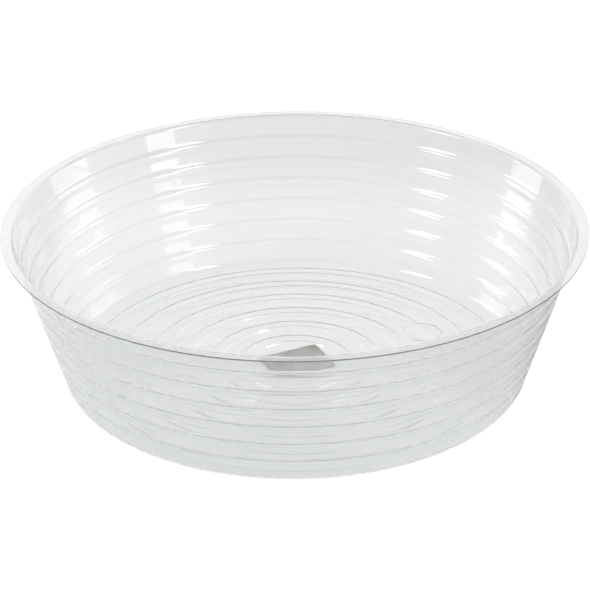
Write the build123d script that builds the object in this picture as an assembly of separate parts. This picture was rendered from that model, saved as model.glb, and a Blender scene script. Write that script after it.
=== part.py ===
from build123d import *
import math
import os

# Clear plant saucer, millimetres.
# +Z is up, and the origin is the middle of the base, on the surface that the saucer stands on.
# The saucer is one sheet of plastic drawn over a mould, so its shell is one thin turned section:
# floor with raised rings, rounded base corner, sloping wall with ribs, and a flat rim flange.
# A small paper label is stuck on the middle of the floor.

# Driving sizes of the whole saucer
RIM_DIAMETER = 305.0
HEIGHT = 83.5
SHEET_THICKNESS = 0.7
WALL_DRAFT_DEGREES = 16.7

# Rim flange and base corner, bend sizes on the outer face of the sheet
FLANGE_WIDTH = 5.2
FLANGE_BEND = 1.3
BASE_BEND = 6.0

# Ribs round the wall, counted down from the rim: proud on the inside and grooves outside
FIRST_RIB_DEPTH = 13.5
WALL_RIB_PITCH = 11.6
WALL_RIB_WIDTH = 5.2
WALL_RIB_RISE = 0.85
WALL_RIB_SLOPE_WIDTH = 1.7
WALL_RIB_FOOT_BEND = 5.6
WALL_RIB_CREST_BEND = 1.6

# Raised rings round the floor: hollow underneath, like the ribs, with a gentler slope on the inner side
FIRST_RING_RADIUS = 27.0
FLOOR_RING_PITCH = 16.7
FLOOR_RING_WIDTH = 9.9
FLOOR_RING_RISE = 0.5
FLOOR_RING_INNER_SLOPE_WIDTH = 3.0
FLOOR_RING_OUTER_SLOPE_WIDTH = 2.0
FLOOR_RING_FOOT_BEND = 3.0
FLOOR_RING_CREST_BEND = 1.5

# Least plain sheet between the base corner and the ribs and rings beside it
RIDGE_GAP = 0.1

# Plain round pad moulded across a ring, level with its crest and clear of the rings beside it
PAD_RINGS_FROM_WALL = 2
PAD_GAP = 0.8
PAD_TURN_DEGREES = 25.0

# Paper label stuck near the middle of the floor, a little askew
LABEL_WIDTH = 34.0
LABEL_DEPTH = 26.5
LABEL_THICKNESS = 0.15
LABEL_CORNER = 1.5
LABEL_TURN_DEGREES = 25.5
LABEL_SHIFT_RIGHT = 0.8
LABEL_SHIFT_BACK = 0.2

# Sizes that follow from the ones above
rim_radius = RIM_DIAMETER / 2
flange_underside = HEIGHT - SHEET_THICKNESS
draft = math.radians(WALL_DRAFT_DEGREES)
wall_top_radius = rim_radius - FLANGE_WIDTH
wall_foot_radius = wall_top_radius - flange_underside * math.tan(draft)


def bend_reach(bend, turn):
    """How far a bend of this radius eats into each straight run beside a corner that turns this much."""
    return bend * math.tan(turn / 2)


def ridge_reach(width, rise, slope_width, foot_bend):
    """From the middle of a ridge to where the sheet is plain again, past the bend at its foot."""
    return width / 2 + bend_reach(foot_bend, math.atan2(rise, slope_width))


# The ridges are a pattern: as many as the plain runs of the floor and the wall have room for
base_corner_reach = bend_reach(BASE_BEND, math.pi / 2 - draft)
ring_reach = ridge_reach(
    FLOOR_RING_WIDTH, FLOOR_RING_RISE, FLOOR_RING_OUTER_SLOPE_WIDTH, FLOOR_RING_FOOT_BEND
)
rib_reach = ridge_reach(WALL_RIB_WIDTH, WALL_RIB_RISE, WALL_RIB_SLOPE_WIDTH, WALL_RIB_FOOT_BEND)
last_ring_limit = wall_foot_radius - base_corner_reach - RIDGE_GAP - ring_reach
lowest_rib_limit = (base_corner_reach + RIDGE_GAP + rib_reach) * math.cos(draft)
ring_count = 1 + int((last_ring_limit - FIRST_RING_RADIUS) // FLOOR_RING_PITCH)
rib_count = 1 + int((HEIGHT - FIRST_RIB_DEPTH - lowest_rib_limit) // WALL_RIB_PITCH)
pad_centre_radius = FIRST_RING_RADIUS + (ring_count - 1 - PAD_RINGS_FROM_WALL) * FLOOR_RING_PITCH
pad_radius = FLOOR_RING_PITCH - FLOOR_RING_WIDTH / 2 - PAD_GAP


def ridge_points(start, along, proud, station, width, rise, near_slope, far_slope):
    """Four corners of a ridge on a straight run of the sheet, from its near foot to its far foot.

    The run starts at `start` and follows the direction `along`; `proud` is square to it.
    """
    near_foot = start + along * (station - width / 2)
    far_foot = start + along * (station + width / 2)
    near_crest = near_foot + along * near_slope + proud * rise
    far_crest = far_foot - along * far_slope + proud * rise
    return [near_foot, near_crest, far_crest, far_foot]


def outer_outline():
    """Corners of the sheet's outer face from the middle out to the rim, and the bend at each inner one."""
    centre = Vector(0, 0)
    wall_foot = Vector(wall_foot_radius, 0)
    wall_top = Vector(wall_top_radius, flange_underside)
    rim_edge = Vector(rim_radius, flange_underside)
    outward = Vector(1, 0)
    upward = Vector(0, 1)
    up_wall = (wall_top - wall_foot).normalized()
    into_bowl = Vector(-up_wall.Y, up_wall.X)
    corners = [centre]
    bends = []
    for ring in range(ring_count):
        station = FIRST_RING_RADIUS + ring * FLOOR_RING_PITCH
        corners += ridge_points(
            centre,
            outward,
            upward,
            station,
            FLOOR_RING_WIDTH,
            FLOOR_RING_RISE,
            FLOOR_RING_INNER_SLOPE_WIDTH,
            FLOOR_RING_OUTER_SLOPE_WIDTH,
        )
        bends += [FLOOR_RING_FOOT_BEND, FLOOR_RING_CREST_BEND, FLOOR_RING_CREST_BEND, FLOOR_RING_FOOT_BEND]
    corners.append(wall_foot)
    bends.append(BASE_BEND)
    for rib in reversed(range(rib_count)):
        station = (HEIGHT - FIRST_RIB_DEPTH - rib * WALL_RIB_PITCH) / up_wall.Y
        corners += ridge_points(
            wall_foot,
            up_wall,
            into_bowl,
            station,
            WALL_RIB_WIDTH,
            WALL_RIB_RISE,
            WALL_RIB_SLOPE_WIDTH,
            WALL_RIB_SLOPE_WIDTH,
        )
        bends += [WALL_RIB_FOOT_BEND, WALL_RIB_CREST_BEND, WALL_RIB_CREST_BEND, WALL_RIB_FOOT_BEND]
    corners += [wall_top, rim_edge]
    bends.append(FLANGE_BEND)
    return corners, bends


def sheet_section():
    """Cut face of the sheet on the XZ plane: the outer outline, thickened towards the bowl."""
    corners, bends = outer_outline()
    outer_face = FilletPolyline(*corners, radius=bends)
    section = make_face(offset(outer_face, SHEET_THICKNESS, side=Side.LEFT))
    # The thickened outline starts at the axis, so the two faces there meet the axis squarely
    return Plane.XZ * section


def pad_place():
    """Middle of the moulded pad on the floor."""
    turn = math.radians(PAD_TURN_DEGREES)
    return Location((pad_centre_radius * math.cos(turn), pad_centre_radius * math.sin(turn), 0))


def saucer_shell():
    """The moulded sheet, with the ring cut away at the pad and the pad's own sheet put in."""
    sheet = revolve(sheet_section(), Axis.Z)
    crest_top = FLOOR_RING_RISE + SHEET_THICKNESS
    bottom_up = (Align.CENTER, Align.CENTER, Align.MIN)
    block = Cylinder(pad_radius, crest_top, align=bottom_up)
    hollow = Cylinder(pad_radius - SHEET_THICKNESS, FLOOR_RING_RISE, align=bottom_up)
    place = pad_place()
    return sheet - place * block + place * (block - hollow)


def label():
    """The sticker, lying face to face on the flat middle of the floor."""
    outline = RectangleRounded(LABEL_WIDTH, LABEL_DEPTH, LABEL_CORNER)
    flat = extrude(outline, LABEL_THICKNESS)
    place = (LABEL_SHIFT_RIGHT, LABEL_SHIFT_BACK, SHEET_THICKNESS)
    return Location(place, (0, 0, LABEL_TURN_DEGREES)) * flat


print(rib_count, "wall ribs and", ring_count, "floor rings")
os.makedirs("parts", exist_ok=True)
pieces = {"saucer_shell": saucer_shell(), "label": label()}
for name, piece in pieces.items():
    export_step(piece, f"parts/{name}.step")
    box = piece.bounding_box()
    print(name, len(piece.solids()), "solid", round(piece.volume), "mm3", box.size)
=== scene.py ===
# %% [markdown]
# # A clear plastic plant saucer
#
# The object is a deep round saucer that stands under a plant pot. It is one sheet of clear plastic,
# less than a millimetre thick, that was heated, drawn over a mould and cut out. The mould gave it a
# flat rim flange, a sloping wall with six ribs, and a floor with six raised rings. A small grey paper
# label is stuck on the middle of the floor. This lesson makes the sheet and the label as surfaces,
# gives them their finish, and lights them so that clear plastic can be seen at all. It starts from the
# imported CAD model, which is loaded as a fixed frame and never moved.

import math

import bpy
import numpy as np
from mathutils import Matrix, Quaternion, Vector


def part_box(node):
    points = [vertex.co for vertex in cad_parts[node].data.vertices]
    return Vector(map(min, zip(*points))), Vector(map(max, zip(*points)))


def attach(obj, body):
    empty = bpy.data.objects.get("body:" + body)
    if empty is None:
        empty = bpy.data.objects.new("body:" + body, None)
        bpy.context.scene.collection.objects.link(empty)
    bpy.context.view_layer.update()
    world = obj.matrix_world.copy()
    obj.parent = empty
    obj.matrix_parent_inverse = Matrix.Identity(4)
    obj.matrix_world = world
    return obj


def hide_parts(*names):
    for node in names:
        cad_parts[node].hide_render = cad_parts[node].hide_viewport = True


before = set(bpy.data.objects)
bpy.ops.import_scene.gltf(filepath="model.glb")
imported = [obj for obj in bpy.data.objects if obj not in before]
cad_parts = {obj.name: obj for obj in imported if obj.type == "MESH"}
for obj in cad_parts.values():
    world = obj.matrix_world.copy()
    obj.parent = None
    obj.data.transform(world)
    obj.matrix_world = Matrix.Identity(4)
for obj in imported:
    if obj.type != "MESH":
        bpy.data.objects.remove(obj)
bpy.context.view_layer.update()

# %% [markdown]
# ## Measurements
#
# Everything is in metres, with +Z up and the origin under the middle of the floor. The rim and the
# height are read from the frame, and the rim takes the least reach of the CAD box, so that the new
# sheet stays inside it. The other sizes are the mould's own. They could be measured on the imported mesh
# too, but a number with a name is easier to follow and to change.

# %% Measurements of the sheet
shell_low, shell_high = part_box("saucer_shell")
RIM_RADIUS = min(-shell_low[0], -shell_low[1], shell_high[0], shell_high[1])
HEIGHT = shell_high[2]
SHEET = 0.0007
HALF_SHEET = SHEET / 2
WALL_DRAFT = math.radians(16.7)
FLANGE_WIDTH = 0.0052
FLANGE_BEND = 0.0013
BASE_BEND = 0.0060
EDGE_ROUND = 0.00008
print("rim radius", round(RIM_RADIUS, 4), "height", round(HEIGHT, 4))

# %% Measurements of the ribs
RIB_COUNT = 6
RIB_FIRST_DEPTH = 0.0135
RIB_PITCH = 0.0116
RIB_WIDTH = 0.0052
RIB_RISE = 0.00085
RIB_SLOPE = 0.0017
RIB_FOOT_BEND = 0.0056
RIB_CREST_BEND = 0.0016
print("rib slope", round(math.degrees(math.atan2(RIB_RISE, RIB_SLOPE))), "degrees")

# %% Measurements of the rings and the pad
RING_COUNT = 6
RING_FIRST = 0.0270
RING_PITCH = 0.0167
RING_WIDTH = 0.0099
RING_RISE = 0.0005
RING_INNER_SLOPE = 0.0024
FIRST_RING_INNER_SLOPE = 0.0017
RING_OUTER_SLOPE = 0.0020
RING_FOOT_BEND = 0.0030
RING_CREST_BEND = 0.0015
PAD_RING = 3
PAD_RADIUS = 0.0109
PAD_SLOPE = 0.0009
PAD_TURN = math.radians(25.0)
PAD_CENTRE = RING_FIRST + PAD_RING * RING_PITCH
print("last ring", round(RING_FIRST + (RING_COUNT - 1) * RING_PITCH, 4), "pad centre", round(PAD_CENTRE, 4))

# %% [markdown]
# ## The line of the sheet
#
# Cut the saucer through its middle and the sheet shows as one thin bent line. It could be drawn with a
# curve object and spun, but then each rib would have to be placed by hand. Here the line is worked out
# from its corners: straight runs, joined by arcs. The bends at the foot of a rib are wide, because the
# hot sheet bridges the hollow corners of the mould, and the bends on its crest are tight.

# %% Corners of the outer face
def ridge(start, direction, proud, station, width, rise, near_slope, far_slope):
    """Foot, crest, crest, foot: four corners about `station` on a straight run of the sheet. Each is
    the start plus its offset along the direction plus its height on the proud side."""
    offsets = np.array([-width / 2, near_slope - width / 2, width / 2 - far_slope, width / 2]) + station
    heights = np.array([0.0, rise, rise, 0.0])
    return start + offsets[:, None] * direction + heights[:, None] * proud


wall_top = np.array([RIM_RADIUS - FLANGE_WIDTH, HEIGHT - SHEET])
wall_foot = np.array([wall_top[0] - wall_top[1] * math.tan(WALL_DRAFT), 0.0])
up_wall = np.array([math.sin(WALL_DRAFT), math.cos(WALL_DRAFT)])
into_bowl = np.array([-up_wall[1], up_wall[0]])
centre, outward, upward = np.zeros(2), np.array([1.0, 0.0]), np.array([0.0, 1.0])

corners, bends = [centre[None]], []
for ring in range(RING_COUNT):
    station = RING_FIRST + ring * RING_PITCH
    inner_slope = FIRST_RING_INNER_SLOPE if ring == 0 else RING_INNER_SLOPE
    ring_form = (RING_WIDTH, RING_RISE, inner_slope, RING_OUTER_SLOPE)
    corners.append(ridge(centre, outward, upward, station, *ring_form))
    bends += [RING_FOOT_BEND, RING_CREST_BEND, RING_CREST_BEND, RING_FOOT_BEND]
corners.append(wall_foot[None])
bends.append(BASE_BEND)
for rib in reversed(range(RIB_COUNT)):
    station = (HEIGHT - RIB_FIRST_DEPTH - rib * RIB_PITCH) / up_wall[1]
    rib_form = (RIB_WIDTH, RIB_RISE, RIB_SLOPE, RIB_SLOPE)
    corners.append(ridge(wall_foot, up_wall, into_bowl, station, *rib_form))
    bends += [RIB_FOOT_BEND, RIB_CREST_BEND, RIB_CREST_BEND, RIB_FOOT_BEND]
corners.append(np.array([wall_top, [RIM_RADIUS, HEIGHT - SHEET]]))
bends.append(FLANGE_BEND)
corners = np.concatenate(corners)
print("corners", len(corners), "bends", len(bends))

# %% Straight runs and arcs
ARC_POINTS = 25


def rounded_line(corners, bends):
    """Points and left-hand normals along the corners. A corner that turns by t gets an arc of radius
    b that starts b tan(t / 2) before it, and the point at angle a on it is the start turned by a
    about the arc's centre. Also gives the numbers of each arc's first and last point."""
    points, normals, spans = [corners[0]], [np.array([0.0, 1.0])], []
    for before_corner, corner, after_corner, bend in zip(corners, corners[1:], corners[2:], bends):
        before = (corner - before_corner) / np.linalg.norm(corner - before_corner)
        after = (after_corner - corner) / np.linalg.norm(after_corner - corner)
        turn = math.atan2(before[0] * after[1] - before[1] * after[0], float(before @ after))
        left = np.array([-before[1], before[0]])
        start = corner - before * bend * math.tan(abs(turn) / 2)
        middle = start + left * math.copysign(bend, turn)
        angle = np.linspace(0.0, turn, ARC_POINTS)
        normal = np.cos(angle)[:, None] * left - np.sin(angle)[:, None] * before
        spans.append((len(points), len(points) + ARC_POINTS - 1))
        points.extend(middle - normal * math.copysign(bend, turn))
        normals.extend(normal)
    points.append(corners[-1])
    normals.append(normals[-1])
    return np.array(points), np.array(normals), spans


outer_line, line_normals, spans = rounded_line(corners, bends)
middle_line = outer_line + line_normals * HALF_SHEET
along = np.concatenate([[0.0], np.cumsum(np.linalg.norm(np.diff(middle_line, axis=0), axis=1))])
print("length of the sheet from centre to rim", round(float(along[-1]), 4))

# %% [markdown]
# ## The ripple of a drawn sheet
#
# A drawn sheet is never quite true. It sags a little between the ribs and ripples as it cools, and that
# is what breaks up its reflections. A noise texture could bump it, but on a clear sheet a bump works as
# a thickness change and bends the view through it. Real ripples move both faces together, so they are
# added to the middle surface: a tenth of a millimetre of shallow waves. The middle of the floor lies
# flat on the mould, and the clamp holds the flange, so the ripple fades out on both.

# %% Waves of the ripple
RIPPLE_HEIGHT = 0.00003
RIPPLE_START = 0.09
RIPPLE_GROWTH = 0.04
FLANGE_FLAT = 0.006
FLANGE_FADE = 0.012
DRIFT_LEAST = 40.0
DRIFT_PER_WAVE = 4.0
HALVING_COUNT = 20
SHARE_RANGE = (0.6, 1.0)
ripple_seed = np.random.default_rng(11)
ROUND_COUNTS = np.array([3, 5, 8, 11, 15, 19, 24, 29, 34, 39])
drift_rates = DRIFT_LEAST + DRIFT_PER_WAVE * ROUND_COUNTS
ripple_phase = ripple_seed.uniform(0, 2 * math.pi, len(ROUND_COUNTS))
ripple_drift = ripple_seed.uniform(-1.0, 1.0, len(ROUND_COUNTS)) * drift_rates
ripple_share = ripple_seed.uniform(*SHARE_RANGE, len(ROUND_COUNTS)) / (1 + ROUND_COUNTS / HALVING_COUNT)
print("waves round the saucer", ROUND_COUNTS.tolist())

# %% Ripple height
WALL_RUN = 0.18


def smooth(x):
    """0 below 0, 1 above 1, and an S-shaped rise between: 3 x squared less 2 x cubed."""
    x = np.clip(x, 0.0, 1.0)
    return x * x * (3.0 - 2.0 * x)


def ripple(run, angle):
    """Sum over k of share * (1 + cos(k * angle + phase + drift * run)) / 2, which is never negative.
    It is nothing on the middle of the floor, grows over the outer floor and fades under the flange."""
    total = 0.0
    for count, phase, drift, share in zip(ROUND_COUNTS, ripple_phase, ripple_drift, ripple_share):
        total = total + share * (1 + np.cos(count * angle + phase + drift * run)) / 2
    fade = smooth((run - RIPPLE_START) / RIPPLE_GROWTH)
    fade = fade * smooth((along[-1] - FLANGE_FLAT - run) / FLANGE_FADE)
    return RIPPLE_HEIGHT * total * fade


wall_ripple = ripple(np.full(720, WALL_RUN), np.linspace(0, 2 * math.pi, 720))
print("largest ripple in mm", round(float(wall_ripple.max()) * 1e3, 3))

# %% [markdown]
# ## The middle surface
#
# A point of the sheet is a function of two parameters: the run along the line, and the angle round the
# saucer. The round pad on the floor lifts the sheet to the crest of its ring. The normals come from
# small steps of the same function, so the bends shade as true arcs even where the mesh is coarse.

# %% Points and normals of the middle surface
NORMAL_STEP = 0.00002


def middle_point(run, angle):
    """The line's point at `run`, lifted at the pad and moved along its normal by the ripple. Turned by
    `angle` about Z, it is radius * cos angle, radius * sin angle, level."""
    radius = np.interp(run, along, middle_line[:, 0])
    level = np.interp(run, along, middle_line[:, 1])
    out = np.interp(run, along, line_normals[:, 0])
    up = np.interp(run, along, line_normals[:, 1])
    from_pad = np.sqrt(radius**2 + PAD_CENTRE**2 - 2 * radius * PAD_CENTRE * np.cos(angle - PAD_TURN))
    lift = smooth((PAD_RADIUS - from_pad) / PAD_SLOPE)
    level = level + lift * (HALF_SHEET + RING_RISE - level)
    wave = ripple(run, angle)
    radius = radius + out * wave
    return np.stack([radius * np.cos(angle), radius * np.sin(angle), level + up * wave], -1)


def middle_normal(run, angle):
    """Unit normal into the bowl: the step along the line crossed with the step round the saucer."""
    step_out = middle_point(run + NORMAL_STEP, angle) - middle_point(run - NORMAL_STEP, angle)
    step_round = middle_point(run, angle + NORMAL_STEP) - middle_point(run, angle - NORMAL_STEP)
    normal = np.cross(step_out, step_round)
    return normal / np.linalg.norm(normal, axis=-1, keepdims=True)


# %% Rows along the line
FIRST_ROWS = np.array([0.002, 0.012])
LAST_ROW_BACK = 0.0015
BEND_ROWS = 4
BASE_BEND_ROWS = 9
PAD_ROWS = 30
PAD_REACH = 1.04 * PAD_RADIUS
LEAST_ROW_GAP = 0.00006


def row_stations():
    """Four rows to each bend, nine to the base corner, and close rows across the pad. A row that lies
    almost on the one before it is dropped."""
    rows = [FIRST_ROWS]
    for (first, last), bend in zip(spans, bends):
        count = BEND_ROWS if bend < BASE_BEND else BASE_BEND_ROWS
        rows.append(np.linspace(along[first], along[last], count))
    floor_end = spans[4 * RING_COUNT][0]
    pad_radii = PAD_CENTRE + PAD_REACH * np.linspace(-1, 1, PAD_ROWS)
    rows.append(np.interp(pad_radii, middle_line[:floor_end, 0], along[:floor_end]))
    rows = np.unique(np.concatenate(rows))
    rows = rows[np.concatenate([[True], np.diff(rows) > LEAST_ROW_GAP])]
    return np.append(rows, along[-1] - LAST_ROW_BACK)


rows = row_stations()[:, None]
print("rows", rows.size)

# %% Columns round the saucer, closer at the pad
PAD_COLUMNS = 37
OTHER_COLUMNS = 171
pad_half_angle = PAD_REACH / PAD_CENTRE
pad_angles = np.linspace(PAD_TURN - pad_half_angle, PAD_TURN + pad_half_angle, PAD_COLUMNS)
other_angles = np.linspace(pad_angles[-1], pad_angles[0] + 2 * math.pi, OTHER_COLUMNS + 2)[1:-1]
columns = np.concatenate([pad_angles, other_angles])[None, :]
surface = middle_point(rows, columns)
normals = middle_normal(rows, columns)
print("columns", columns.size, "points of the middle surface", rows.size * columns.size)

# %% [markdown]
# ## The closed shell
#
# Light bends at both faces of clear plastic, so the sheet needs a real thickness. A Solidify modifier
# could give it, but here both faces are written directly: the middle surface moved half a sheet each
# way along its normals. The cut edge of the rim is square, with its corners just broken.

# %% From arrays to a mesh
def mesh_from(name, points, quads, triangles, normals=None):
    """A smooth-shaded mesh object from arrays of points, corner numbers and, if given, normals."""
    loop_corners = np.concatenate([quads.ravel(), triangles.ravel()]).astype(np.int32)
    sizes = np.concatenate([np.full(len(quads), 4), np.full(len(triangles), 3)])
    starts = np.concatenate([[0], np.cumsum(sizes)[:-1]]).astype(np.int32)
    mesh = bpy.data.meshes.new(name)
    mesh.vertices.add(len(points))
    mesh.vertices.foreach_set("co", points.astype(np.float32).ravel())
    mesh.loops.add(len(loop_corners))
    mesh.loops.foreach_set("vertex_index", loop_corners)
    mesh.polygons.add(len(sizes))
    mesh.polygons.foreach_set("loop_start", starts)
    mesh.polygons.foreach_set("use_smooth", np.ones(len(sizes), dtype=bool))
    mesh.update(calc_edges=True)
    mesh.validate()
    if normals is not None:
        mesh.normals_split_custom_set_from_vertices(normals.tolist())
    made = bpy.data.objects.new(name, mesh)
    bpy.context.scene.collection.objects.link(made)
    return made


# %% Mesh of the sheet
def rim_edge(run):
    """Points and normals over the cut edge, from the top face to the underside: a quarter circle at
    each corner of the square edge."""
    end = middle_point(run, columns)[0]
    radial = end * [1, 1, 0] / np.linalg.norm(end[:, :2], axis=-1, keepdims=True)
    up = np.array([0.0, 0.0, 1.0])
    points, turned = [], []
    for side, angles in ((1, (0.0, 0.25, 0.5)), (-1, (0.5, 0.75, 1.0))):
        for angle in np.array(angles) * math.pi:
            way = math.sin(angle) * radial + math.cos(angle) * up
            middle = end - radial * EDGE_ROUND + up * side * (HALF_SHEET - EDGE_ROUND)
            points.append(middle + way * EDGE_ROUND)
            turned.append(way)
    return np.array(points), np.array(turned)


def closed_shell(name, middle, normal):
    """The upper face is the middle surface plus half a sheet of its normal, and the lower face is the
    middle surface less that. The cut edge joins them, and a fan of triangles closes each pole."""
    edge, edge_normals = rim_edge(along[-1:, None])
    grid = np.concatenate([middle + normal * HALF_SHEET, edge, (middle - normal * HALF_SHEET)[::-1]])
    grid_normals = np.concatenate([normal, edge_normals, -normal[::-1]])
    row_count, turns = grid.shape[:2]
    number = np.arange(row_count * turns).reshape(row_count, turns)
    after = np.roll(number, -1, axis=1)
    quads = np.stack([number[:-1], number[1:], after[1:], after[:-1]], -1).reshape(-1, 4)
    pole_top = row_count * turns
    fan_top = np.stack([np.full(turns, pole_top), number[0], after[0]], -1)
    fan_low = np.stack([np.full(turns, pole_top + 1), after[-1], number[-1]], -1)
    points = np.concatenate([grid.reshape(-1, 3), [[0, 0, SHEET], [0, 0, 0]]])
    turned = np.concatenate([grid_normals.reshape(-1, 3), [[0, 0, 1], [0, 0, -1]]])
    return mesh_from(name, points, quads, np.concatenate([fan_top, fan_low]), turned)


shell = closed_shell("clear_saucer", surface, normals)
print("triangles", sum(len(p.vertices) - 2 for p in shell.data.polygons))

# %% [markdown]
# ## The label
#
# The sticker is a small oblong piece of plain grey paper on the flat middle of the floor. A plane would
# do from far away, but a sticker has a thickness and never lies quite flat, so it is a thin closed slab
# with faint creases and one corner that has started to lift. A hair of a gap keeps its underside from
# lying in the very plane of the sheet.

# %% Measurements of the label
LABEL_WIDTH = 0.0340
LABEL_DEPTH = 0.0265
LABEL_SHEET = 0.00015
LABEL_TURN = math.radians(25.5)
LABEL_SHIFT = np.array([0.0008, 0.0002])
LABEL_CORNER = 0.0015
LABEL_GAP = 0.00002
LABEL_STEPS = 49
CORNER_PULL = 0.3
CREASE_HEIGHT = 0.00004
CORNER_LIFT = 0.0005
LIFT_START = 1.2
LIFT_SPAN = 1.6
print("label", LABEL_WIDTH, "by", LABEL_DEPTH, "m, turned by", round(math.degrees(LABEL_TURN), 1))

# %% Mesh of the label
def rounded_square(u, v, corner_share):
    """The square -1..1 with its corners drawn in: u and v both shrink by share * (u v) to the 8th."""
    pull = 1 - corner_share * (u * v) ** 8
    return u * pull, v * pull


def paper_height(u, v):
    """Crease times (1 + cos(5 u + 2 v) cos(3 v - 2 u)), plus the corner lift times a smooth rise from
    where u + v passes its start. The corner itself is a little under half way up that rise."""
    crease = CREASE_HEIGHT * (1 + np.cos(5 * u + 2 * v) * np.cos(3 * v - 2 * u))
    return crease + CORNER_LIFT * smooth((u + v - LIFT_START) / LIFT_SPAN)


def label_mesh():
    """Top and underside share one grid of u and v. Half the width times u and half the depth times v,
    turned and shifted, give the place, and the sides join the two outlines."""
    steps = np.linspace(-1, 1, LABEL_STEPS)
    u, v = np.meshgrid(steps, steps, indexing="ij")
    u, v = rounded_square(u, v, CORNER_PULL * LABEL_CORNER / (LABEL_DEPTH / 2))
    x, y = u * LABEL_WIDTH / 2, v * LABEL_DEPTH / 2
    turned_x = x * math.cos(LABEL_TURN) - y * math.sin(LABEL_TURN) + LABEL_SHIFT[0]
    turned_y = x * math.sin(LABEL_TURN) + y * math.cos(LABEL_TURN) + LABEL_SHIFT[1]
    low = np.stack([turned_x, turned_y, SHEET + LABEL_GAP + paper_height(u, v)], -1)
    high = low + [0, 0, LABEL_SHEET]
    count = u.size
    number = np.arange(count).reshape(u.shape)
    square = np.stack([number[:-1, :-1], number[1:, :-1], number[1:, 1:], number[:-1, 1:]], -1)
    top_faces = square.reshape(-1, 4)
    low_faces = top_faces[:, ::-1] + count
    loop = np.concatenate([number[0, :-1], number[:-1, -1], number[-1, :0:-1], number[:0:-1, 0]])
    onward = np.roll(loop, -1)
    side_faces = np.stack([loop, onward, onward + count, loop + count], -1)
    points = np.concatenate([high.reshape(-1, 3), low.reshape(-1, 3)])
    faces = np.concatenate([top_faces, low_faces, side_faces])
    return mesh_from("paper_label", points, faces, np.zeros((0, 3), int))


sticker = label_mesh()
print("label faces", len(sticker.data.polygons))

# %% [markdown]
# ## Helpers for node trees
#
# A material is a tree of nodes. Each link could be written out by hand, but the same few steps come
# again and again, so they get names first: a node with its settings, a small sum, a range, a blend of
# two colours and a choice between two shaders. A value may be a plain number or another node's output.

# %% Nodes, numbers and links
def node(tree, kind, **values):
    """Adds a node. A value whose name is one of its inputs is set there, and any other is a property."""
    made = tree.nodes.new(kind)
    for key, value in values.items():
        if key in made.inputs:
            made.inputs[key].default_value = value
        else:
            setattr(made, key, value)
    return made


def feed(tree, values, sockets):
    """Gives each socket its value: a link if it is another node's output, or else the plain value."""
    for value, socket in zip(values, sockets):
        if isinstance(value, bpy.types.NodeSocket):
            tree.links.new(value, socket)
        else:
            socket.default_value = value


def maths(tree, operation, *terms):
    """The result of a Math node on up to three terms."""
    made = node(tree, "ShaderNodeMath", operation=operation)
    feed(tree, terms, made.inputs)
    return made.outputs[0]


def mapped(tree, value, start, end, low=0.0, high=1.0, ease="SMOOTHSTEP"):
    """The value carried from start..end to low..high, and held at low and high outside."""
    made = node(tree, "ShaderNodeMapRange", interpolation_type=ease)
    names = ("Value", "From Min", "From Max", "To Min", "To Max")
    feed(tree, (value, start, end, low, high), [made.inputs[name] for name in names])
    return made.outputs["Result"]


# %% Colours, shaders and noise
def blended(tree, share, first, second):
    """The first colour where the share is 0, and the second where it is 1."""
    made = node(tree, "ShaderNodeMix", data_type="RGBA")
    feed(tree, (share, first, second), (made.inputs[0], made.inputs[6], made.inputs[7]))
    return made.outputs[2]


def chosen(tree, share, first, second):
    """The first shader where the share is 0, and the second where it is 1."""
    made = node(tree, "ShaderNodeMixShader")
    feed(tree, (share, first, second), made.inputs)
    return made.outputs[0]


def noise(tree, place, scale, detail, roughness):
    """Height of a noise texture at a place, about 0.5 on average. Its scale is in lumps per metre."""
    made = node(tree, "ShaderNodeTexNoise", Scale=scale, Detail=detail, Roughness=roughness)
    tree.links.new(place, made.inputs["Vector"])
    return made.outputs["Fac"]


def split_xyz(tree, vector):
    """The X, Y and Z of a vector, as three outputs."""
    made = node(tree, "ShaderNodeSeparateXYZ")
    tree.links.new(vector, made.inputs["Vector"])
    return made.outputs


# %% A fresh material
def fresh_material(name):
    """A material with an empty tree, and its Object coordinates. They are metres in the frame, because
    each finished object sits at the origin."""
    material = bpy.data.materials.new(name)
    material.use_nodes = True
    tree = material.node_tree
    tree.nodes.clear()
    return material, tree, node(tree, "ShaderNodeTexCoord").outputs["Object"]


# %% [markdown]
# ## The finish of clear plastic
#
# Clear vinyl sheet bends light and mirrors a little of it, and it is never quite clear: fine haze in it
# scatters a little under a tenth of the light at each face. A Glass shader has no place for that. A
# Principled shader has: its transmission is a little under full, and the rest is a faint milky white.
# The tint is a touch darker at the floor, and the cut edge of the rim is painted grey: a painted shade
# for the dark line seen where one looks into the sheet lengthwise. Lamps shine through thin clear
# plastic and leave only a pale shadow, so the rays that light the table and the haze meet a Transparent
# shader instead.

# %% Numbers of the clear plastic
RIM_TINT = (0.872, 0.878, 0.881, 1.0)
BASE_TINT = (0.852, 0.860, 0.865, 1.0)
CLEAR_SHARE = 0.92
CLEAR_IOR = 1.54
SHADOW_TINT = (0.95, 0.955, 0.955, 1.0)
# Painted shade: grey of the cut edge, for the dark line seen looking into the sheet lengthwise
CUT_EDGE_PAINTED_SHADE = (0.30, 0.31, 0.31, 1.0)
CUT_EDGE_SHADE_BAND = 0.00018
PEEL_NOISE = (120.0, 1.0, 0.5)
PEEL_HEIGHT = 0.000003
HAZE_NOISE = (70.0, 3.0, 0.6)
NOISE_LOW, NOISE_HIGH = 0.3, 0.7
SHINIEST, DULLEST = 0.02, 0.05
print("share of light that each face scatters", round(1 - CLEAR_SHARE, 2))

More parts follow.
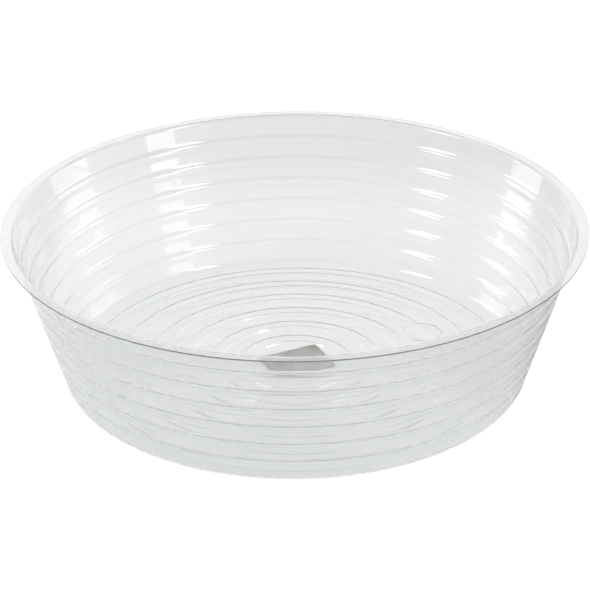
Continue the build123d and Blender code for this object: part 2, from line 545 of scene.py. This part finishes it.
# %% Material of the sheet
def sheet_tint(tree, place):
    """Tint from the floor to the rim with height, and a painted grey shade in the band where the distance
    from the axis is within CUT_EDGE_SHADE_BAND of the rim."""
    split = split_xyz(tree, place)
    level = mapped(tree, split["Z"], 0.0, HEIGHT, ease="LINEAR")
    flat = node(tree, "ShaderNodeCombineXYZ")
    feed(tree, (split["X"], split["Y"]), flat.inputs)
    reach = node(tree, "ShaderNodeVectorMath", operation="LENGTH")
    tree.links.new(flat.outputs["Vector"], reach.inputs[0])
    band = (RIM_RADIUS - CUT_EDGE_SHADE_BAND, RIM_RADIUS - CUT_EDGE_SHADE_BAND / 2)
    # Mask of the painted grey shade on the cut edge of the rim
    cut = mapped(tree, reach.outputs["Value"], *band, ease="LINEAR")
    return blended(tree, cut, blended(tree, level, BASE_TINT, RIM_TINT), CUT_EDGE_PAINTED_SHADE)


def clear_plastic():
    """Near-full transmission, with a roughness that drifts with the haze and a very fine skin bump."""
    material, tree, place = fresh_material("clear_vinyl")
    skin = node(tree, "ShaderNodeBump", Strength=1.0, Distance=PEEL_HEIGHT)
    tree.links.new(noise(tree, place, *PEEL_NOISE), skin.inputs["Height"])
    haze = noise(tree, place, *HAZE_NOISE)
    plastic = node(tree, "ShaderNodeBsdfPrincipled", IOR=CLEAR_IOR)
    plastic.inputs["Transmission Weight"].default_value = CLEAR_SHARE
    dull = mapped(tree, haze, NOISE_LOW, NOISE_HIGH, SHINIEST, DULLEST, ease="LINEAR")
    tree.links.new(dull, plastic.inputs["Roughness"])
    tree.links.new(sheet_tint(tree, place), plastic.inputs["Base Color"])
    tree.links.new(skin.outputs["Normal"], plastic.inputs["Normal"])
    rays = node(tree, "ShaderNodeLightPath")
    through = node(tree, "ShaderNodeBsdfTransparent", Color=SHADOW_TINT)
    surface = plastic.outputs["BSDF"]
    for ray in ("Is Diffuse Ray", "Is Shadow Ray"):
        surface = chosen(tree, rays.outputs[ray], surface, through.outputs["BSDF"])
    tree.links.new(surface, node(tree, "ShaderNodeOutputMaterial").inputs["Surface"])
    return material


shell.data.materials.append(clear_plastic())
print("sheet material", shell.data.materials[0].name)

# %% [markdown]
# ## The finish of the label
#
# Uncoated grey paper: a fine fibre pattern, cloudy patches where the glue shows through, and a bump
# that is only fibres deep. A darker olive grey fades out from the lifted corner. It could be painted
# on with a texture, but the distance from the corner is all that it needs.

# %% Numbers of the label's paper
PAPER_DARK = (0.39, 0.40, 0.39, 1.0)
PAPER_LIGHT = (0.57, 0.57, 0.55, 1.0)
CLOUD_NOISE = (90.0, 4.0, 0.6)
CLOUD_DARK_AT, CLOUD_LIGHT_AT = 0.35, 0.65
FIBRE_NOISE = (1500.0, 3.0, 0.7)
FIBRE_HEIGHT = 0.00002
FIBRE_STRENGTH = 0.4
PAPER_ROUGHNESS = 0.75
# Darker olive grey that fades out from the lifted corner of the label
CORNER_DARK_COLOUR = (0.22, 0.22, 0.13, 1.0)
CORNER_DARK_PLACE = (0.0104, 0.0195, 0.0009)
CORNER_DARK_REACH = 0.012
CORNER_DARK_SHARE = 0.45
print("stain reaches", CORNER_DARK_REACH, "m from the lifted corner")

# %% Material of the label
def grey_paper():
    """Grey paper whose colour drifts between two greys with a cloudy noise, with a fibre bump and a
    darker olive grey whose share falls smoothly to nothing at CORNER_DARK_REACH from the corner."""
    material, tree, place = fresh_material("grey_paper")
    cloud = node(tree, "ShaderNodeValToRGB")
    for end, stop, grey in ((0, CLOUD_DARK_AT, PAPER_DARK), (1, CLOUD_LIGHT_AT, PAPER_LIGHT)):
        cloud.color_ramp.elements[end].position = stop
        cloud.color_ramp.elements[end].color = grey
    tree.links.new(noise(tree, place, *CLOUD_NOISE), cloud.inputs["Fac"])
    from_corner = node(tree, "ShaderNodeVectorMath", operation="DISTANCE")
    feed(tree, (place, CORNER_DARK_PLACE), from_corner.inputs)
    corner_darkening = mapped(tree, from_corner.outputs["Value"], 0.0, CORNER_DARK_REACH, CORNER_DARK_SHARE, 0.0)
    grain = node(tree, "ShaderNodeBump", Strength=FIBRE_STRENGTH, Distance=FIBRE_HEIGHT)
    tree.links.new(noise(tree, place, *FIBRE_NOISE), grain.inputs["Height"])
    paper = node(tree, "ShaderNodeBsdfPrincipled", Roughness=PAPER_ROUGHNESS)
    darkened_paper = blended(tree, corner_darkening, cloud.outputs["Color"], CORNER_DARK_COLOUR)
    tree.links.new(darkened_paper, paper.inputs["Base Color"])
    tree.links.new(grain.outputs["Normal"], paper.inputs["Normal"])
    tree.links.new(paper.outputs["BSDF"], node(tree, "ShaderNodeOutputMaterial").inputs["Surface"])
    return material


sticker.data.materials.append(grey_paper())
print("label material", sticker.data.materials[0].name)

# %% [markdown]
# ## Fit the pieces to the frame
#
# The two new surfaces stand for the two CAD solids, which stay in the frame for collision and mass and
# are no longer shown. The solids could have been kept and given the materials, but they have no ripple
# and no creases. Each surface rides on the one body.

# %% Ride and replace
for piece, cad_node, slot in ((shell, "saucer_shell", "clear_sheet"), (sticker, "label", "label_paper")):
    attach(piece, "root")
    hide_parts(cad_node)
    print(piece.name, "stands for", cad_node)

# %% [markdown]
# ## The table top
#
# Clear plastic shows only what it mirrors and bends, so the room matters more than the lamps. The table
# is a matt white sheet of paper. It lies a tenth of a millimetre under the saucer, because two faces at
# the very same height can't be told apart.

# %% Mesh of the table top
TABLE_RADIUS = 3.0
TABLE_GAP = 0.0001
TABLE_CORNERS = 96


def table_disc():
    """A fan of triangles from the middle to the points radius * (cos t, sin t) of a many-sided edge."""
    turn = np.linspace(0, 2 * math.pi, TABLE_CORNERS + 1)[:-1]
    rim = np.stack([np.cos(turn), np.sin(turn), 0 * turn], -1) * TABLE_RADIUS
    points = np.concatenate([[[0, 0, 0]], rim]) - [0, 0, TABLE_GAP]
    number = np.arange(1, TABLE_CORNERS + 1)
    fan = np.stack([np.zeros(TABLE_CORNERS, int), number, np.roll(number, -1)], -1)
    return mesh_from("table_top", points, np.zeros((0, 4), int), fan)


table = table_disc()
print("table top", 2 * TABLE_RADIUS, "m across")

# %% [markdown]
# ## The light of the table
#
# Lit paper alone would come out pale grey. A little light of its own brings it to white for the camera,
# and it still takes the soft shadow of the saucer. Seen through the plastic it gets such a light too,
# less of it far behind the saucer and beside it, where the flange shows the table. Brighter lamps
# could do it too, but they would wash out the plastic.

# %% Own light of the table
TABLE_GLOW_SEEN = 0.33
TABLE_GLOW_NEAR = 0.29
TABLE_GLOW_FAR = 0.14
TABLE_NEAR_END = 0.17
TABLE_FAR_START = 0.30
TABLE_SIDE_START = 0.135
TABLE_SIDE_END = 0.150
TABLE_SIDE_SHARE = 0.50


def own_light(tree, split, rays):
    """TABLE_GLOW_SEEN for a camera ray. For a ray bent by the plastic it is the near glow, which falls
    to the far glow with Y, times a share that falls from 1 with the distance from X = 0."""
    depth = (TABLE_NEAR_END, TABLE_FAR_START, TABLE_GLOW_NEAR, TABLE_GLOW_FAR)
    behind = mapped(tree, split["Y"], *depth)
    sideways = maths(tree, "ABSOLUTE", split["X"])
    beside = mapped(tree, sideways, TABLE_SIDE_START, TABLE_SIDE_END, 1.0, TABLE_SIDE_SHARE)
    glow = maths(tree, "MULTIPLY", behind, beside)
    bent = maths(tree, "MULTIPLY", rays["Is Transmission Ray"], glow)
    return maths(tree, "MULTIPLY_ADD", rays["Is Camera Ray"], TABLE_GLOW_SEEN, bent)


print("own light for the camera", TABLE_GLOW_SEEN, "and under the saucer", TABLE_GLOW_NEAR)

# %% [markdown]
# ## The mirror image of the table
#
# What the wall mirrors of the table decides how dark the wall looks. A real room puts shades on a table
# that a plain scene lacks. So a mirrored ray finds a picture of it: grey on the camera's side, white
# behind the saucer, and a darker warm grey at the front right.

# %% Mirror image of the table
MIRRORED_FRONT = (0.68, 0.69, 0.70, 1.0)
MIRRORED_BACK = (0.98, 0.98, 0.98, 1.0)
MIRRORED_RIGHT = (0.38, 0.37, 0.32, 1.0)
FRONT_TO_BACK = (-0.12, 0.10)
MIDDLE_TO_RIGHT = (0.08, 0.15)
BACK_TO_FRONT = (0.12, 0.02)


def mirror_image(tree, split):
    """Front colour to back colour with Y, and the right colour by the product of two smooth steps, one
    to the right with X and one to the front with Y."""
    middle = mapped(tree, split["Y"], *FRONT_TO_BACK)
    to_right = mapped(tree, split["X"], *MIDDLE_TO_RIGHT)
    to_front = mapped(tree, split["Y"], *BACK_TO_FRONT)
    corner = maths(tree, "MULTIPLY", to_right, to_front)
    return blended(tree, corner, blended(tree, middle, MIRRORED_FRONT, MIRRORED_BACK), MIRRORED_RIGHT)


print("mirror image turns from grey to white over", FRONT_TO_BACK, "m")

# %% Material of the table top
TABLE_COLOUR = (0.9, 0.9, 0.9, 1.0)


def table_paper():
    """Matt paper plus its own light, and the mirror image for glossy rays. A ray bent by the plastic
    counts as glossy too, so a second choice gives it the paper again."""
    material, tree, place = fresh_material("table_white")
    split = split_xyz(tree, place)
    rays = node(tree, "ShaderNodeLightPath").outputs
    matt = node(tree, "ShaderNodeBsdfDiffuse", Color=TABLE_COLOUR)
    glow = node(tree, "ShaderNodeEmission")
    tree.links.new(own_light(tree, split, rays), glow.inputs["Strength"])
    both = node(tree, "ShaderNodeAddShader")
    feed(tree, (matt.outputs["BSDF"], glow.outputs["Emission"]), both.inputs)
    image = node(tree, "ShaderNodeEmission")
    tree.links.new(mirror_image(tree, split), image.inputs["Color"])
    paper = both.outputs["Shader"]
    seen = chosen(tree, rays["Is Glossy Ray"], paper, image.outputs["Emission"])
    surface = chosen(tree, rays["Is Transmission Ray"], seen, paper)
    tree.links.new(surface, node(tree, "ShaderNodeOutputMaterial").inputs["Surface"])
    return material


table.data.materials.append(table_paper())
print("table material", table.data.materials[0].name)

# %% [markdown]
# ## The room that the plastic mirrors
#
# The camera sees plain white behind the table. Mirrored and bent rays see a room, given as three bands
# of height, all white behind the saucer. The low band is dimmer in front, most of all at the left. The
# middle band is dimmer at the right, and the high one is dark in front and at the right. That is what
# makes the rings on the floor and the ribs on the wall read as thin dark lines. A picture of a real
# studio could stand here, but a few stops on three ramps are easier to move.

# %% Brightness of the room: pairs of azimuth in degrees and level, where 0 is the camera's side
ROOM_LOW = (
    (-180, 1.0), (-106, 1.0), (-99, 0.5), (-45, 0.5), (-20, 0.8), (30, 0.8), (40, 1.0), (180, 1.0)
)
ROOM_MIDDLE = (
    (-180, 1.0), (-100, 0.9), (-45, 1.0), (20, 1.0), (40, 0.6), (100, 0.5), (150, 1.0), (180, 1.0)
)
ROOM_HIGH = (
    (-180, 1.0), (-130, 0.7), (-60, 0.5), (-20, 0.15), (40, 0.05), (110, 0.05), (150, 1.0), (180, 1.0)
)
LOW_TO_MIDDLE = (13, 17)
MIDDLE_TO_HIGH = (23, 33)
FILL_LEVEL = 0.51
WHITE = (1.0, 1.0, 1.0, 1.0)
print("bands meet at", LOW_TO_MIDDLE, "and", MIDDLE_TO_HIGH, "degrees up")

# %% From the way of a ray to a level
def level_ramp(tree, turn, stops):
    """A ramp from the azimuth of a ray, as a share of the turn, to how bright the room is there."""
    ramp = node(tree, "ShaderNodeValToRGB")
    while len(ramp.color_ramp.elements) < len(stops):
        ramp.color_ramp.elements.new(0.5)
    for element, (azimuth, level) in zip(ramp.color_ramp.elements, stops):
        element.position = azimuth / 360 + 0.5
        element.color = (level, level, level, 1.0)
    tree.links.new(turn, ramp.inputs["Fac"])
    return ramp.outputs["Color"]


def room_level(tree):
    """The azimuth is the angle whose tangent is X over minus Y. The low band blends into the middle one
    and that into the high one, by the sine of the elevation, which is the ray's Z."""
    way = split_xyz(tree, node(tree, "ShaderNodeTexCoord").outputs["Generated"])
    azimuth = maths(tree, "ARCTAN2", way["X"], maths(tree, "MULTIPLY", way["Y"], -1.0))
    turn = mapped(tree, azimuth, -math.pi, math.pi, ease="LINEAR")
    room = level_ramp(tree, turn, ROOM_LOW)
    for stops, (start, end) in ((ROOM_MIDDLE, LOW_TO_MIDDLE), (ROOM_HIGH, MIDDLE_TO_HIGH)):
        sines = (math.sin(math.radians(start)), math.sin(math.radians(end)))
        rise = mapped(tree, way["Z"], *sines)
        room = blended(tree, rise, room, level_ramp(tree, turn, stops))
    return room


# %% The world
def background(tree, colour, strength):
    """Background light of a colour, which is a plain one or another node's output."""
    made = node(tree, "ShaderNodeBackground", Strength=strength)
    feed(tree, [colour], [made.inputs["Color"]])
    return made.outputs[0]


def studio_world():
    """White for the camera, the room for mirrored and bent rays, and an even fill for the rest."""
    world = bpy.data.worlds.new("studio")
    world.use_nodes = True
    tree = world.node_tree
    tree.nodes.clear()
    rays = node(tree, "ShaderNodeLightPath").outputs
    mirrored = maths(tree, "MAXIMUM", rays["Is Glossy Ray"], rays["Is Transmission Ray"])
    fill = background(tree, WHITE, FILL_LEVEL)
    lit_or_mirrored = chosen(tree, mirrored, fill, background(tree, room_level(tree), 1.0))
    seen = chosen(tree, rays["Is Camera Ray"], lit_or_mirrored, background(tree, WHITE, 1.0))
    tree.links.new(seen, node(tree, "ShaderNodeOutputWorld").inputs["Surface"])
    return world


bpy.context.scene.world = studio_world()
print("world", bpy.context.scene.world.name)

# %% [markdown]
# ## The lamps
#
# Each rib of the back wall mirrors a tall softbox twice, once at the bend of its foot and once at its
# crest, which gives the pairs of bright lines at the left and the right. The smooth wall between two
# ribs mirrors lower things: a window, and a small panel close by on each side, which give the pale
# patches. A wide faint lamp behind stands for a lit backdrop, and two small ones high up behind the
# saucer give the glints on the rings. One large lamp overhead would light it as well, but would leave
# the wall without a line or a patch.

# %% Rectangular lamps
def softbox(name, azimuth, elevation, distance, width, height, radiance):
    """A rectangular lamp that faces the saucer and looks `radiance` bright. Azimuth 0 is the camera's
    side, and 90 is +X. Its power is radiance times pi times its area."""
    turn, rise = math.radians(azimuth), math.radians(elevation)
    away = Vector((math.sin(turn) * math.cos(rise), -math.cos(turn) * math.cos(rise), math.sin(rise)))
    lamp = bpy.data.lights.new(name, "AREA")
    lamp.shape = "RECTANGLE"
    lamp.size = width
    lamp.size_y = height
    lamp.energy = radiance * math.pi * width * height
    made = bpy.data.objects.new(name, lamp)
    made.location = Vector((0, 0, HEIGHT / 2)) + away * distance
    made.rotation_mode = "QUATERNION"
    made.rotation_quaternion = away.to_track_quat("Z", "Y")
    made.visible_camera = False
    bpy.context.scene.collection.objects.link(made)
    return made


# %% Name, azimuth and elevation in degrees, distance, width and height in metres, radiance
LAMPS = (
    ("softbox_right", 51.5, 31.5, 4.0, 0.80, 1.8, 8.0),
    ("softbox_left", -70, 31.5, 4.0, 0.80, 1.8, 8.0),
    ("window_right", 58.5, 6, 4.0, 0.90, 1.2, 2.0),
    ("panel_right", 115, 11, 0.65, 0.28, 0.32, 1.7),
    ("panel_left", -122, 12, 0.55, 0.20, 0.32, 2.4),
    ("backdrop_glow", 180, 28, 4.0, 3.0, 1.6, 0.3),
    ("spark_right", 166.5, 50.0, 4.0, 0.60, 0.50, 8.0),
    ("spark_left", -164.7, 49.3, 4.0, 0.40, 0.45, 4.0),
)
for lamp in LAMPS:
    print("lamp", softbox(*lamp).name)

# %% [markdown]
# ## The camera
#
# The photograph looks down at the saucer by about 27 degrees from eight rim radii away, so the camera
# has a long lens. Its tilt, distance and lens come from fitting circles to the rim and the rings. A
# camera set by eye comes close, but the lines of the ribs then drift by several pixels.

# %% Camera
VIEW_ELEVATION = math.radians(26.75)
VIEW_DISTANCE = 7.926 * RIM_RADIUS
VIEW_ROLL = math.radians(-0.43)
AIM_LEFT = 0.0005 * RIM_RADIUS
AIM_DROP = 0.2794 * RIM_RADIUS
AIM = Vector((-AIM_LEFT, 0.0, HEIGHT - AIM_DROP))
FOCAL_PIXELS = 2282.4
FRAME_PIXELS = 590
SENSOR = 36.0

lens = bpy.data.cameras.new("camera")
lens.sensor_width = SENSOR
lens.lens = FOCAL_PIXELS / FRAME_PIXELS * SENSOR
lens.clip_start = 0.05
lens.clip_end = 50.0
camera = bpy.data.objects.new("camera", lens)
toward_camera = Vector((0.0, -math.cos(VIEW_ELEVATION), math.sin(VIEW_ELEVATION)))
camera.location = AIM + toward_camera * VIEW_DISTANCE
camera.rotation_mode = "QUATERNION"
camera.rotation_quaternion = (-toward_camera).to_track_quat("-Z", "Y") @ Quaternion((0, 0, 1), VIEW_ROLL)
bpy.context.scene.collection.objects.link(camera)
bpy.context.scene.camera = camera
print("lens", round(lens.lens, 1), "mm at", round(VIEW_DISTANCE, 3), "m")

# %% [markdown]
# ## Colour and ray depth
#
# Light crosses up to a dozen faces of the sheet on its way to the camera, so the ray depths are raised.
# A ray that finds a lamp by way of several faces would leave a bright bead, so such light is clamped.
# Standard view keeps colours as they are written.

# %% Colour and ray depth
scene = bpy.context.scene
scene.view_settings.view_transform = "Standard"
scene.cycles.max_bounces = 32
scene.cycles.transmission_bounces = 32
scene.cycles.glossy_bounces = 16
scene.cycles.transparent_max_bounces = 32
scene.cycles.sample_clamp_indirect = 2.5
scene.cycles.caustics_reflective = False
scene.cycles.caustics_refractive = False
print("view transform", scene.view_settings.view_transform)
